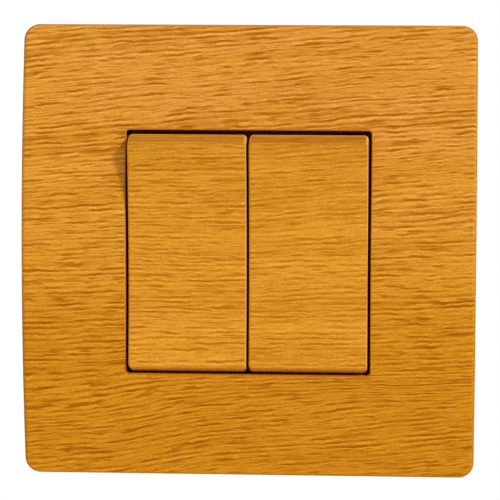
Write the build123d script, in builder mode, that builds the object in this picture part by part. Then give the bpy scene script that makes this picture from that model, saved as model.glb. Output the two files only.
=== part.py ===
from build123d import *
from math import cos, radians, sin, sqrt, tan
import os

# Two-button light switch: an arched cover plate and two dished rockers, on a mechanism for a round wall box.
# X points right, Z up and Y into the wall, and the origin is the middle of the switch on the wall's surface.
# A height is measured out of the wall, along -Y, and a depth into it, along +Y.
# Lengths are in millimetres and angles in degrees.

# Cover plate
PLATE_SIZE = 82.0
PLATE_CORNER = 2.8
PLATE_EDGE_HEIGHT = 5.0
PLATE_CROWN = 5.0
PLATE_WALL = 2.0
PLATE_EDGE_ROUND = 0.8
OPENING_CORNER = 0.6
OPENING_EDGE_ROUND = 0.25
COLLAR_WALL = 1.4
COLLAR_CLEARANCE = 0.4
CLIP_WIDTH = 5.0
CLIP_THICK = 1.4
CLIP_ROOT = 3.0
CLIP_SPACING = 26.0
CLIP_HOOK = 0.8
CLIP_HOOK_LENGTH = 1.4
CLIP_CLEARANCE = 0.3

# Rockers
ROCKER_WIDTH = 21.35
ROCKER_GAP = 0.46
SIDE_CLEARANCE = 0.52
FACE_LENGTH = 40.9
FACE_DISH = 1.5
FACE_RISE = 5.1
FACE_WALL = 1.6
END_DRAFT = 21.3
END_CLEARANCE = 0.43
CAP_RISE = 3.57
SKIRT_RISE = 0.6
SKIRT_INSET = 0.6
ROCKER_WALL = 1.4
ROCKER_CORNER = 0.75
ROCKER_EDGE_ROUND = 0.35
PIVOT_HEIGHT = 4.5
REST_TILT = 3.7
SEAT_RIB = 1.2
SEAT_RIB_SPACING = 8.0
LEG_WIDTH = 5.0
LEG_THICK = 1.2
LEG_HOOK = 0.7
LEG_CLEARANCE = 0.2

# Carriers, with their bearings
TRUNNION_RADIUS = 1.5
BEARING_CLEARANCE = 0.05
CARRIER_LENGTH = 11.0
CARRIER_TOP = 2.2
CARRIER_BOTTOM = 1.2
CARRIER_SIDE_GAP = 0.3
STEM_RADIUS = 3.0
STEM_LENGTH = 8.5
BORE_ROOF = 1.2
POST_THICK = 2.0
POST_SIDE_GAP = 0.9
POST_RADIUS = 2.8
POST_SNAP = 2.6

# Plungers and springs
PLUNGER_RADIUS = 1.75
PLUNGER_CLEARANCE = 0.05
PLUNGER_REACH = 12.0
PLUNGER_LENGTH = 8.8
PLUNGER_TAPER = 2.2
PLUNGER_TIP_RADIUS = 1.3
SPRING_WIRE = 0.4
SPRING_TURNS = 5
SPRING_CLEARANCE = 0.15
SPRING_END_GAP = 0.03

# Contact blades
BLADE_RATIO = 2.0
BLADE_THICK = 0.8
BLADE_WIDTH = 5.0
BLADE_UPPER = 9.2
BLADE_LOWER = 10.2
BLADE_CORNER = 1.0
BLADE_PLUNGER_GAP = 0.05
KNUCKLE_RADIUS = 0.8
KNUCKLE_CLEARANCE = 0.05
CONTACT_ARM = 8.5
CONTACT_RADIUS = 1.4
CONTACT_THICK = 0.8
CONTACT_DOME = 4.0
CONTACT_GAP = 0.05
FIXED_TIP_THICK = 0.7
RIVET_RADIUS = 0.7
RIVET_CLEARANCE = 0.02
RIVET_HEAD_RADIUS = 1.0
RIVET_HEAD = 0.3

# Terminals
STRIP_THICK = 0.8
STRIP_WIDTH = 5.0
BAR_HEIGHT = 4.0
SADDLE_WIDTH = 3.2
SADDLE_DROP = 0.3
BLOCK_SIZE = 6.5
BLOCK_DEPTH = 7.5
BLOCK_CLEARANCE = 0.3
BLOCK_INSET = 1.5
BLOCK_SHIFT = 2.0
WIRE_RADIUS = 1.5
WIRE_BORE_END = 1.5
WIRE_ENTRY_CLEARANCE = 0.2
WIRE_FUNNEL = 20.0
WIRE_SCREW_RADIUS = 1.5
WIRE_SCREW_BACK_OFF = 0.1
WIRE_SCREW_LIFT = 0.6
WIRE_SCREW_HEAD_RADIUS = 2.5
WIRE_SCREW_HEAD = 1.8
THREAD_CLEARANCE = 0.04
DRIVER_CLEARANCE = 0.4

# Support frame
FRAME_MARGIN = 3.5
FRAME_THICK = 1.0
FRAME_CORNER = 6.0
BOX_SCREW_SPACING = 60.0
BOX_SLOT_WIDTH = 4.2
BOX_SLOT_LENGTH = 7.5
CORNER_HOLE_SPACING = 56.0
CORNER_HOLE_RADIUS = 1.6
LIP_HEIGHT = 2.5
LIP_LENGTH = 48.0

# Bearing bridge
FLANGE_THICK = 1.4
FLANGE_CORNER = 3.0
FLANGE_LAP = 1.0
FLANGE_OVERHANG = 2.2
SPIGOT_WALL = 1.2
SPIGOT_DEPTH = 1.5
SPIGOT_CLEARANCE = 0.15
WINDOW_CLEARANCE = 0.6
STOP_THICK = 1.0
STOP_LENGTH = 10.0
STOP_GAP = 0.1

# Switch base
BASE_WIDTH = 43.0
BASE_HEIGHT = 42.0
BASE_CHAMFER = 4.0
BASE_EDGE_ROUND = 0.4
BASE_WALL = 1.6
BASE_FLOOR = 1.8
CAVITY_CHAMFER = 8.0
PARTITION = 1.2
PARTITION_CLEARANCE = 0.6
BLADE_STOP_THICK = 1.0

# Frame screws
FRAME_SCREW_RADIUS = 1.2
FRAME_SCREW_INSET = 3.8
FRAME_SCREW_LENGTH = 9.0
FRAME_SCREW_HEAD_RADIUS = 1.9
FRAME_SCREW_HEAD = 1.2
FRAME_SCREW_CLEARANCE = 0.1

# Claws
CLAW_WIDTH = 8.6
CLAW_THICK = 1.4
CLAW_LENGTH = 15.4
CLAW_PIVOT_DEPTH = 2.6
CLAW_BARREL_RADIUS = 1.4
CLAW_STUB_RADIUS = 1.0
CLAW_STUB_LENGTH = 0.5
CLAW_CLEARANCE = 0.05
CLAW_SIDE_GAP = 0.2
CLAW_BASE_GAP = 0.6
CLAW_FLANGE_DROP = 1.2
CLAW_TOOTH = 2.4
CLAW_TOOTH_PITCH = 3.0
LUG_THICK = 1.0
LUG_RADIUS = 1.7
CLAW_SCREW_OFFSET = 3.6
CLAW_SCREW_RADIUS = 1.5
CLAW_SCREW_LENGTH = 7.0
CLAW_SCREW_HEAD_RADIUS = 2.5
CLAW_SCREW_HEAD = 1.6
CLAW_SCREW_CLEARANCE = 0.2
CLAW_SLOT_SPARE = 0.7
CLAW_FLANGE_EDGE = 0.9

SCREW_SLOT_WIDTH = 0.8
SCREW_SLOT_DEPTH = 0.8

# Rockers: places worked out from the sizes above
gang_x = (ROCKER_WIDTH + ROCKER_GAP) / 2
GANGS = {"left": -gang_x, "right": gang_x}
face_half = FACE_LENGTH / 2
face_end_rise = FACE_RISE + FACE_DISH
end_slope = tan(radians(END_DRAFT))
foot_half = face_half + (face_end_rise - CAP_RISE) * end_slope
skirt_half = foot_half - SKIRT_INSET
opening_width = 2 * (ROCKER_WIDTH + SIDE_CLEARANCE) + ROCKER_GAP
opening_height = 2 * (foot_half + END_CLEARANCE)
rocker_inner_half = ROCKER_WIDTH / 2 - ROCKER_WALL
post_outer = rocker_inner_half - POST_SIDE_GAP
post_middle = post_outer - POST_THICK / 2
carrier_half = post_outer - POST_THICK - CARRIER_SIDE_GAP
bore_radius = PLUNGER_RADIUS + PLUNGER_CLEARANCE
bore_top = CARRIER_TOP - BORE_ROOF
leg_inner = CARRIER_LENGTH / 2 + LEG_CLEARANCE
leg_outer = leg_inner + LEG_THICK
leg_catch = -CARRIER_BOTTOM - LEG_CLEARANCE
leg_tip = leg_catch - LEG_HOOK

# Cover plate: its arch is a circle about a horizontal axis
plate_half = PLATE_SIZE / 2
plate_inner_half = plate_half - PLATE_WALL
arch_radius = (plate_half**2 + PLATE_CROWN**2) / (2 * PLATE_CROWN)
arch_centre = PLATE_EDGE_HEIGHT + PLATE_CROWN - arch_radius
frame_size = 2 * (plate_inner_half - FRAME_MARGIN)
flange_front = FRAME_THICK + FLANGE_THICK
collar_foot = flange_front + COLLAR_CLEARANCE
clip_inner = opening_width / 2 + COLLAR_WALL
clip_outer = clip_inner + CLIP_THICK
clip_slot_x = (clip_inner + clip_outer) / 2
clip_slot_width = CLIP_THICK + 2 * CLIP_CLEARANCE
clip_slot_height = CLIP_WIDTH + 2 * CLIP_CLEARANCE

# Contacts: the closed contact sets the depth of the base's floor
blade_tilt = BLADE_RATIO * REST_TILT
knuckle_depth = PLUNGER_REACH - PIVOT_HEIGHT + BLADE_PLUNGER_GAP + BLADE_THICK
dome_centre = CONTACT_DOME - CONTACT_THICK
closed_sin = sin(radians(blade_tilt))
closed_cos = cos(radians(blade_tilt))
closed_depth = knuckle_depth + CONTACT_ARM * closed_sin - dome_centre * closed_cos + CONTACT_DOME
fixed_tip_z = -(CONTACT_ARM * closed_cos + dome_centre * closed_sin)
strip_front = closed_depth + CONTACT_GAP + FIXED_TIP_THICK
floor_depth = strip_front + STRIP_THICK

# Terminals: the common one at the top, one for each rocker at the bottom
cavity_half_width = BASE_WIDTH / 2 - BASE_WALL
cavity_half_height = BASE_HEIGHT / 2 - BASE_WALL
block_z = cavity_half_height - BLOCK_INSET - BLOCK_SIZE / 2
block_back = strip_front + BLOCK_DEPTH
block_middle = (floor_depth + block_back) / 2
TERMINALS = {
    "common": (0, block_z, 1),
    "left": (BLOCK_SHIFT - gang_x, -block_z, -1),
    "right": (gang_x - BLOCK_SHIFT, -block_z, -1),
}
well_size = BLOCK_SIZE + 2 * BLOCK_CLEARANCE
well_depth = block_back + BLOCK_CLEARANCE
turret_size = well_size + 2 * BASE_WALL
driver_radius = WIRE_SCREW_HEAD_RADIUS + DRIVER_CLEARANCE

# Fastenings
frame_screw_x = BASE_WIDTH / 2 - FRAME_SCREW_INSET
frame_screw_z = BASE_HEIGHT / 2 - FRAME_SCREW_INSET
claw_x = BASE_WIDTH / 2 + CLAW_BASE_GAP + CLAW_BARREL_RADIUS
claw_screw_x = claw_x + CLAW_SCREW_OFFSET
claw_flange_depth = CLAW_PIVOT_DEPTH + CLAW_FLANGE_DROP
claw_slot_length = 2 * (CLAW_SCREW_RADIUS + CLAW_SLOT_SPARE)
claw_slot_width = 2 * (CLAW_SCREW_RADIUS + CLAW_SCREW_CLEARANCE)
claw_flange_end = CLAW_SCREW_OFFSET + claw_slot_length / 2 + CLAW_FLANGE_EDGE
lug_inner = CLAW_WIDTH / 2 + CLAW_SIDE_GAP
lug_outer = lug_inner + LUG_THICK


def out_of_wall(height):
    """A plane parallel to the wall: its x is X, its y is Z and its normal points out of the wall."""
    return Plane.XZ.offset(height)


def side_plane(x, height=0.0, tilt=0.0):
    """A plane across X: its x points out of the wall and its y up, both tipped so that the top leans out."""
    lean = radians(tilt)
    return Plane(origin=(x, -height, 0), x_dir=(0, -cos(lean), -sin(lean)), z_dir=(-1, 0, 0))


def face_plane(x, height, tilt, rise=0.0):
    """A plane along a tipped piece: its x is X, its y runs up the piece and its normal points outwards."""
    lean = radians(tilt)
    tipped = Plane(origin=(x, -height, 0), x_dir=(1, 0, 0), z_dir=(0, -cos(lean), -sin(lean)))
    return tipped.offset(rise)


def arch(z, inset=0.0):
    """The height of the plate's arch at a place on its height, or of the curve this far inside it."""
    return arch_centre + sqrt((arch_radius - inset) ** 2 - z**2)


def arch_section(half, inset):
    """The plate's section between the wall and the arch, seen from the side."""
    with BuildSketch(side_plane(0)) as section:
        with BuildLine():
            Polyline((arch(half, inset), half), (0, half), (0, -half), (arch(half, inset), -half))
            ThreePointArc((arch(half, inset), -half), (arch(0, inset), 0), (arch(half, inset), half))
        make_face()
    return section.sketch


def chamfered_section(height, half_width, half_height, cut):
    """A rectangle with its four corners cut off, parallel to the wall at this height."""
    with BuildSketch(out_of_wall(height)) as section:
        Rectangle(2 * half_width, 2 * half_height)
        chamfer(section.vertices(), cut)
    return section.sketch


def disc(plane, radius):
    """A round section in the middle of a plane."""
    with BuildSketch(plane) as section:
        Circle(radius)
    return section.sketch


def slotted_screw(plane, radius, length, head_radius, head_height):
    """A screw whose head sits on the plane, with its shank behind it and a driver slot in front."""
    extrude(disc(plane, radius), amount=-length)
    extrude(disc(plane, head_radius), amount=head_height)
    with BuildSketch(plane.offset(head_height)) as slot:
        Rectangle(2 * head_radius, SCREW_SLOT_WIDTH)
    extrude(slot.sketch, amount=-SCREW_SLOT_DEPTH, mode=Mode.SUBTRACT)


def keep(piece, label):
    """Names a finished piece and writes it."""
    piece.label = label
    export_step(piece, f"parts/{label}.step")


def make_cover_plate():
    with BuildPart() as plate_hollow:
        extrude(arch_section(plate_inner_half, PLATE_WALL), amount=plate_inner_half, both=True)
        with BuildSketch(out_of_wall(collar_foot)):
            Rectangle(opening_width + 2 * COLLAR_WALL, opening_height + 2 * COLLAR_WALL)
        extrude(amount=arch(0), mode=Mode.SUBTRACT)

    clip_root = collar_foot + CLIP_ROOT
    clip_hook = clip_outer + CLIP_HOOK
    with BuildPart() as cover_plate:
        extrude(arch_section(plate_half, 0), amount=plate_half, both=True)
        fillet(cover_plate.edges().filter_by(Axis.Y), PLATE_CORNER)
        front = cover_plate.faces().filter_by(GeomType.CYLINDER).sort_by(SortBy.AREA)[-1]
        fillet(front.edges(), PLATE_EDGE_ROUND)
        add(plate_hollow.part, mode=Mode.SUBTRACT)
        with BuildSketch(out_of_wall(0)):
            RectangleRounded(opening_width, opening_height, OPENING_CORNER)
        extrude(amount=arch(0), mode=Mode.SUBTRACT)
        front = cover_plate.faces().filter_by(GeomType.CYLINDER).sort_by(SortBy.AREA)[-1]
        fillet(front.inner_wires()[0].edges(), OPENING_EDGE_ROUND)
        for z in (-CLIP_SPACING / 2, CLIP_SPACING / 2):
            for side in (-1, 1):
                with BuildSketch(Plane.XY.offset(z)):
                    Polygon(
                        (side * clip_inner, -clip_root),
                        (side * clip_inner, CLIP_HOOK_LENGTH),
                        (side * clip_outer, CLIP_HOOK_LENGTH),
                        (side * clip_hook, CLIP_HOOK_LENGTH / 2),
                        (side * clip_hook, CLIP_CLEARANCE / 2),
                        (side * clip_outer, CLIP_CLEARANCE / 2),
                        (side * clip_outer, -clip_root),
                        align=None,
                    )
                extrude(amount=CLIP_WIDTH / 2, both=True)
    keep(cover_plate.part, "cover_plate")


def make_rocker(side, x):
    outline_side = side_plane(x, PIVOT_HEIGHT, REST_TILT)
    ceiling_end_rise = face_end_rise - FACE_WALL
    ceiling_half = face_half + FACE_WALL * end_slope - ROCKER_WALL
    rib_root = FACE_RISE - FACE_WALL / 2
    with BuildPart() as rocker:
        with BuildSketch(outline_side):
            with BuildLine():
                Polyline(
                    (face_end_rise, face_half),
                    (CAP_RISE, foot_half),
                    (CAP_RISE, -foot_half),
                    (face_end_rise, -face_half),
                )
                ThreePointArc((face_end_rise, -face_half), (FACE_RISE, 0), (face_end_rise, face_half))
            make_face()
        extrude(amount=ROCKER_WIDTH / 2, both=True)
        end_walls = rocker.faces().sort_by(Axis.Z)
        for end_wall in (end_walls[0], end_walls[-1]):
            fillet(end_wall.edges().filter_by(Axis.X, reverse=True), ROCKER_CORNER)
        face = rocker.faces().sort_by(Axis(outline_side.origin, outline_side.x_dir))[-1]
        fillet(face.edges(), ROCKER_EDGE_ROUND)
        with BuildSketch(face_plane(x, PIVOT_HEIGHT, REST_TILT, SKIRT_RISE)):
            Rectangle(ROCKER_WIDTH - 2 * SKIRT_INSET, 2 * skirt_half)
        extrude(amount=CAP_RISE - SKIRT_RISE)
        with BuildSketch(outline_side):
            with BuildLine():
                Polyline(
                    (ceiling_end_rise, ceiling_half),
                    (SKIRT_RISE, foot_half - ROCKER_WALL),
                    (SKIRT_RISE, ROCKER_WALL - foot_half),
                    (ceiling_end_rise, -ceiling_half),
                )
                ThreePointArc(
                    (ceiling_end_rise, -ceiling_half),
                    (FACE_RISE - FACE_WALL, 0),
                    (ceiling_end_rise, ceiling_half),
                )
            make_face()
        extrude(amount=rocker_inner_half, both=True, mode=Mode.SUBTRACT)
        for offset in (-SEAT_RIB_SPACING / 2, SEAT_RIB_SPACING / 2):
            with BuildSketch(side_plane(x + offset, PIVOT_HEIGHT, REST_TILT)):
                with Locations(((CARRIER_TOP + rib_root) / 2, 0)):
                    Rectangle(rib_root - CARRIER_TOP, CARRIER_LENGTH)
            extrude(amount=SEAT_RIB / 2, both=True)
        for end in (-1, 1):
            with BuildSketch(outline_side):
                Polygon(
                    (rib_root, end * leg_inner),
                    (leg_catch, end * leg_inner),
                    (leg_catch, end * (leg_inner - LEG_HOOK)),
                    (leg_tip, end * leg_inner),
                    (leg_tip, end * leg_outer),
                    (rib_root, end * leg_outer),
                    align=None,
                )
            extrude(amount=LEG_WIDTH / 2, both=True)
    keep(rocker.part, f"{side}_rocker")


def make_carrier(side, x):
    with BuildPart() as carrier:
        with BuildSketch(face_plane(x, PIVOT_HEIGHT, REST_TILT, -CARRIER_BOTTOM)):
            Rectangle(2 * carrier_half, CARRIER_LENGTH)
        extrude(amount=CARRIER_TOP + CARRIER_BOTTOM)
        with BuildSketch(side_plane(x, PIVOT_HEIGHT, REST_TILT)):
            Circle(TRUNNION_RADIUS)
        extrude(amount=post_outer, both=True)
        with BuildSketch(face_plane(x, PIVOT_HEIGHT, REST_TILT, -STEM_LENGTH)):
            Circle(STEM_RADIUS)
        extrude(amount=STEM_LENGTH)
        with BuildSketch(face_plane(x, PIVOT_HEIGHT, REST_TILT, -STEM_LENGTH)):
            Circle(bore_radius)
        extrude(amount=STEM_LENGTH + bore_top, mode=Mode.SUBTRACT)
    keep(carrier.part, f"{side}_carrier")


def make_plunger(side, x):
    profile_side = side_plane(x, PIVOT_HEIGHT, REST_TILT)
    tip_centre = PLUNGER_TIP_RADIUS - PLUNGER_REACH
    taper_start = tip_centre + PLUNGER_TAPER
    with BuildPart() as plunger:
        with BuildSketch(profile_side):
            with BuildLine():
                Polyline(
                    (-PLUNGER_REACH, 0),
                    (PLUNGER_LENGTH - PLUNGER_REACH, 0),
                    (PLUNGER_LENGTH - PLUNGER_REACH, PLUNGER_RADIUS),
                    (taper_start, PLUNGER_RADIUS),
                    (tip_centre, PLUNGER_TIP_RADIUS),
                )
                RadiusArc((tip_centre, PLUNGER_TIP_RADIUS), (-PLUNGER_REACH, 0), -PLUNGER_TIP_RADIUS)
            make_face()
        revolve(axis=Axis(profile_side.origin, profile_side.x_dir))
    keep(plunger.part, f"{side}_plunger")


def make_spring(side, x):
    wire_radius = SPRING_WIRE / 2
    coil_start = PLUNGER_LENGTH - PLUNGER_REACH + wire_radius + SPRING_END_GAP
    coil_height = bore_top - wire_radius - SPRING_END_GAP - coil_start
    coil_radius = bore_radius - SPRING_CLEARANCE - wire_radius
    start = face_plane(x, PIVOT_HEIGHT, REST_TILT, coil_start)
    with BuildPart() as spring:
        with BuildLine() as coil:
            Helix(coil_height / SPRING_TURNS, coil_height, coil_radius, start.origin, start.z_dir)
        with BuildSketch(Plane(origin=coil.line @ 0, z_dir=coil.line % 0)):
            RegularPolygon(radius=wire_radius, side_count=6)
        sweep(path=coil.line, is_frenet=True)
    keep(spring.part, f"{side}_spring")


def make_blade(side, x):
    with BuildPart() as blade:
        with BuildSketch(side_plane(x, -knuckle_depth, -blade_tilt)):
            with Locations((BLADE_THICK / 2, (BLADE_UPPER - BLADE_LOWER) / 2)):
                Rectangle(BLADE_THICK, BLADE_UPPER + BLADE_LOWER)
        extrude(amount=BLADE_WIDTH / 2, both=True)
        front = face_plane(x, -knuckle_depth, -blade_tilt)
        fillet(blade.edges().filter_by(Axis(front.origin, front.z_dir)), BLADE_CORNER)
        with BuildSketch(side_plane(x, -knuckle_depth, -blade_tilt)):
            with BuildLine():
                Line((0, KNUCKLE_RADIUS), (0, -KNUCKLE_RADIUS))
                ThreePointArc((0, -KNUCKLE_RADIUS), (-KNUCKLE_RADIUS, 0), (0, KNUCKLE_RADIUS))
            make_face()
        extrude(amount=BLADE_WIDTH / 2, both=True)
        with BuildSketch(front):
            with Locations((0, -CONTACT_ARM)):
                Circle(RIVET_RADIUS + RIVET_CLEARANCE)
        extrude(amount=BLADE_THICK, mode=Mode.SUBTRACT)
    keep(blade.part, f"{side}_blade")


def rivet_shank(metal):
    """The corners of half a rivet's shank and closed end, from the head's rim through a strip of metal."""
    return [(0, RIVET_RADIUS), (metal, RIVET_RADIUS), (metal, RIVET_HEAD_RADIUS)]


def make_moving_tip(side, x):
    blade_side = side_plane(x, -knuckle_depth, -blade_tilt)
    tip_side = Plane(blade_side.from_local_coords((0, -CONTACT_ARM, 0)), blade_side.x_dir, blade_side.z_dir)
    dome_edge = dome_centre - sqrt(CONTACT_DOME**2 - CONTACT_RADIUS**2)
    with BuildPart() as moving_tip:
        with BuildSketch(tip_side):
            with BuildLine():
                Polyline(
                    (dome_edge, CONTACT_RADIUS),
                    (0, CONTACT_RADIUS),
                    *rivet_shank(BLADE_THICK),
                    (BLADE_THICK + RIVET_HEAD, RIVET_HEAD_RADIUS),
                    (BLADE_THICK + RIVET_HEAD, 0),
                    (-CONTACT_THICK, 0),
                )
                RadiusArc((-CONTACT_THICK, 0), (dome_edge, CONTACT_RADIUS), CONTACT_DOME)
            make_face()
        revolve(axis=Axis(tip_side.origin, tip_side.x_dir))
    keep(moving_tip.part, f"{side}_moving_tip")


def make_fixed_tip(side, x):
    face = Plane((x, strip_front, fixed_tip_z), (1, 0, 0), (0, -1, 0))
    with BuildPart() as fixed_tip:
        with BuildSketch(face):
            Circle(CONTACT_RADIUS)
        extrude(amount=FIXED_TIP_THICK)
        with BuildSketch(face):
            Circle(RIVET_RADIUS)
        extrude(amount=-STRIP_THICK)
    keep(fixed_tip.part, f"{side}_fixed_tip")


def terminal_block(x, z, outward):
    """The brass block of a terminal, with its wire bore from behind and its screw hole from outside."""
    front = Plane((x, strip_front, z), (1, 0, 0), (0, -1, 0))
    with BuildSketch(front) as block:
        Rectangle(BLOCK_SIZE, BLOCK_SIZE)
    extrude(block.sketch, amount=-BLOCK_DEPTH)
    wire_bore = disc(front.offset(-BLOCK_DEPTH), WIRE_RADIUS)
    extrude(wire_bore, amount=BLOCK_DEPTH - WIRE_BORE_END, mode=Mode.SUBTRACT)
    screw_hole = disc(Plane((x, block_middle, z)), WIRE_SCREW_RADIUS + THREAD_CLEARANCE)
    extrude(screw_hole, amount=outward * BLOCK_SIZE / 2, mode=Mode.SUBTRACT)


def make_common_terminal():
    x, z, outward = TERMINALS["common"]
    with BuildPart() as common_terminal:
        with BuildSketch(out_of_wall(-strip_front)):
            Rectangle(2 * gang_x + BLADE_WIDTH, BAR_HEIGHT)
            with Locations((x, z / 2)):
                Rectangle(STRIP_WIDTH, z)
        extrude(amount=-STRIP_THICK)
        for gang in GANGS.values():
            with BuildSketch(side_plane(gang)):
                with Locations((-(strip_front + knuckle_depth + SADDLE_DROP) / 2, 0)):
                    Rectangle(strip_front - knuckle_depth - SADDLE_DROP, SADDLE_WIDTH)
                with Locations((-knuckle_depth, 0)):
                    Circle(KNUCKLE_RADIUS + KNUCKLE_CLEARANCE, mode=Mode.SUBTRACT)
            extrude(amount=BLADE_WIDTH / 2, both=True)
        terminal_block(x, z, outward)
    keep(common_terminal.part, "common_terminal")


def make_terminal(side, gang):
    x, z, outward = TERMINALS[side]
    strip_top = fixed_tip_z + STRIP_WIDTH / 2
    with BuildPart() as terminal:
        with BuildSketch(out_of_wall(-strip_front)):
            with Locations((gang, (strip_top + z) / 2)):
                Rectangle(STRIP_WIDTH, strip_top - z)
        extrude(amount=-STRIP_THICK)
        terminal_block(x, z, outward)
        with BuildSketch(out_of_wall(-strip_front)):
            with Locations((gang, fixed_tip_z)):
                Circle(RIVET_RADIUS + RIVET_CLEARANCE)
        extrude(amount=-STRIP_THICK, mode=Mode.SUBTRACT)
    keep(terminal.part, f"{side}_terminal")


def make_terminal_screws():
    head_seat = block_z + BLOCK_SIZE / 2 + WIRE_SCREW_LIFT
    shank = head_seat - block_z - WIRE_RADIUS - WIRE_SCREW_BACK_OFF
    with BuildPart() as terminal_screws:
        for x, z, outward in TERMINALS.values():
            seat = Plane((x, block_middle, outward * head_seat), (1, 0, 0), (0, 0, outward))
            slotted_screw(seat, WIRE_SCREW_RADIUS, shank, WIRE_SCREW_HEAD_RADIUS, WIRE_SCREW_HEAD)
    keep(terminal_screws.part, "terminal_screws")


def make_switch_base():
    blade_stop_z = BLADE_UPPER * closed_cos - BLADE_STOP_THICK
    blade_stop_depth = knuckle_depth + BLADE_UPPER * closed_sin + STOP_GAP
    partition_top = -BAR_HEIGHT / 2 - PARTITION_CLEARANCE
    partition_front = SPIGOT_DEPTH + PARTITION_CLEARANCE
    lower_turret = TERMINALS["right"][0] + turret_size / 2
    turret_height = BASE_HEIGHT / 2 - block_z + turret_size / 2
    with BuildPart() as switch_base:
        outline = chamfered_section(0, BASE_WIDTH / 2, BASE_HEIGHT / 2, BASE_CHAMFER)
        extrude(outline, amount=-floor_depth - BASE_FLOOR)
        with BuildSketch(out_of_wall(-floor_depth)):
            with Locations((0, (BASE_HEIGHT - turret_height) / 2)):
                Rectangle(turret_size, turret_height)
            with Locations((0, (turret_height - BASE_HEIGHT) / 2)):
                Rectangle(2 * lower_turret, turret_height)
        extrude(amount=floor_depth - well_depth - BASE_WALL)
        rim = switch_base.faces().sort_by(Axis.Y)[0]
        fillet(switch_base.edges() - rim.edges(), BASE_EDGE_ROUND)
        cavity = chamfered_section(0, cavity_half_width, cavity_half_height, CAVITY_CHAMFER)
        extrude(cavity, amount=-floor_depth, mode=Mode.SUBTRACT)
        for x, z, outward in TERMINALS.values():
            with BuildSketch(out_of_wall(-floor_depth)):
                with Locations((x, z)):
                    Rectangle(well_size, well_size)
            extrude(amount=floor_depth - well_depth, mode=Mode.SUBTRACT)
            with BuildSketch(out_of_wall(-well_depth)):
                with Locations((x, z)):
                    Circle(WIRE_RADIUS + WIRE_ENTRY_CLEARANCE)
            extrude(amount=-BASE_WALL, taper=-WIRE_FUNNEL, mode=Mode.SUBTRACT)
            with BuildSketch(Plane.XY.offset(z)):
                with Locations((x, block_middle)):
                    Circle(driver_radius)
            extrude(amount=outward * (BASE_HEIGHT / 2 - block_z), mode=Mode.SUBTRACT)
        with BuildSketch(out_of_wall(-floor_depth)):
            with Locations((0, (partition_top - cavity_half_height) / 2)):
                Rectangle(PARTITION, partition_top + cavity_half_height)
        extrude(amount=floor_depth - partition_front)
        with BuildSketch(out_of_wall(-floor_depth)):
            for gang in GANGS.values():
                with Locations((gang, blade_stop_z)):
                    Rectangle(BLADE_WIDTH, BLADE_STOP_THICK)
        extrude(amount=floor_depth - blade_stop_depth)
        with BuildSketch(out_of_wall(0)):
            with GridLocations(2 * frame_screw_x, 2 * frame_screw_z, 2, 2):
                Circle(FRAME_SCREW_RADIUS + THREAD_CLEARANCE)
        extrude(amount=-FRAME_SCREW_LENGTH, mode=Mode.SUBTRACT)
    keep(switch_base.part, "switch_base")


def make_bearing_bridge():
    flange_half_width = BASE_WIDTH / 2 + FLANGE_OVERHANG
    flange_half_height = opening_height / 2 + FLANGE_LAP
    spigot_half_width = cavity_half_width - SPIGOT_CLEARANCE
    spigot_half_height = cavity_half_height - SPIGOT_CLEARANCE
    stop_z = skirt_half - (ROCKER_WALL - SKIRT_INSET) / 2
    lean = radians(REST_TILT)
    stop_top = PIVOT_HEIGHT + SKIRT_RISE * cos(lean) - skirt_half * sin(lean) - STOP_GAP
    window_half_height = leg_outer - leg_tip * sin(lean) + WINDOW_CLEARANCE
    bearing_radius = TRUNNION_RADIUS + BEARING_CLEARANCE
    snap_align = (Align.MIN, Align.CENTER)
    with BuildPart() as bearing_bridge:
        with BuildSketch(out_of_wall(FRAME_THICK)):
            RectangleRounded(2 * flange_half_width, 2 * flange_half_height, FLANGE_CORNER)
        extrude(amount=FLANGE_THICK)
        spigot = chamfered_section(-SPIGOT_DEPTH, spigot_half_width, spigot_half_height, CAVITY_CHAMFER)
        extrude(spigot, amount=SPIGOT_DEPTH + FRAME_THICK)
        inner_half_width = spigot_half_width - SPIGOT_WALL
        inner_half_height = spigot_half_height - SPIGOT_WALL
        inside = chamfered_section(-SPIGOT_DEPTH, inner_half_width, inner_half_height, CAVITY_CHAMFER)
        extrude(inside, amount=SPIGOT_DEPTH + FRAME_THICK, mode=Mode.SUBTRACT)
        for x in GANGS.values():
            with BuildSketch(out_of_wall(FRAME_THICK)):
                with Locations((x, 0)):
                    Rectangle(2 * (post_outer - POST_THICK), 2 * window_half_height)
            extrude(amount=FLANGE_THICK, mode=Mode.SUBTRACT)
            for post_x in (x - post_middle, x + post_middle):
                with BuildSketch(side_plane(post_x)):
                    with Locations(((FRAME_THICK + PIVOT_HEIGHT) / 2, 0)):
                        Rectangle(PIVOT_HEIGHT - FRAME_THICK, 2 * POST_RADIUS)
                    with Locations((PIVOT_HEIGHT, 0)):
                        Circle(POST_RADIUS)
                        Circle(bearing_radius, mode=Mode.SUBTRACT)
                        Rectangle(POST_RADIUS, POST_SNAP, align=snap_align, mode=Mode.SUBTRACT)
                extrude(amount=POST_THICK / 2, both=True)
            with BuildSketch(out_of_wall(flange_front)):
                with Locations((x, stop_z), (x, -stop_z)):
                    Rectangle(STOP_LENGTH, STOP_THICK)
            extrude(amount=stop_top - flange_front)
        with BuildSketch(out_of_wall(FRAME_THICK)):
            with GridLocations(2 * frame_screw_x, 2 * frame_screw_z, 2, 2):
                Circle(FRAME_SCREW_RADIUS + FRAME_SCREW_CLEARANCE)
            with GridLocations(2 * clip_slot_x, CLIP_SPACING, 2, 2):
                Rectangle(clip_slot_width, clip_slot_height)
        extrude(amount=FLANGE_THICK, mode=Mode.SUBTRACT)
    keep(bearing_bridge.part, "bearing_bridge")


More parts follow.
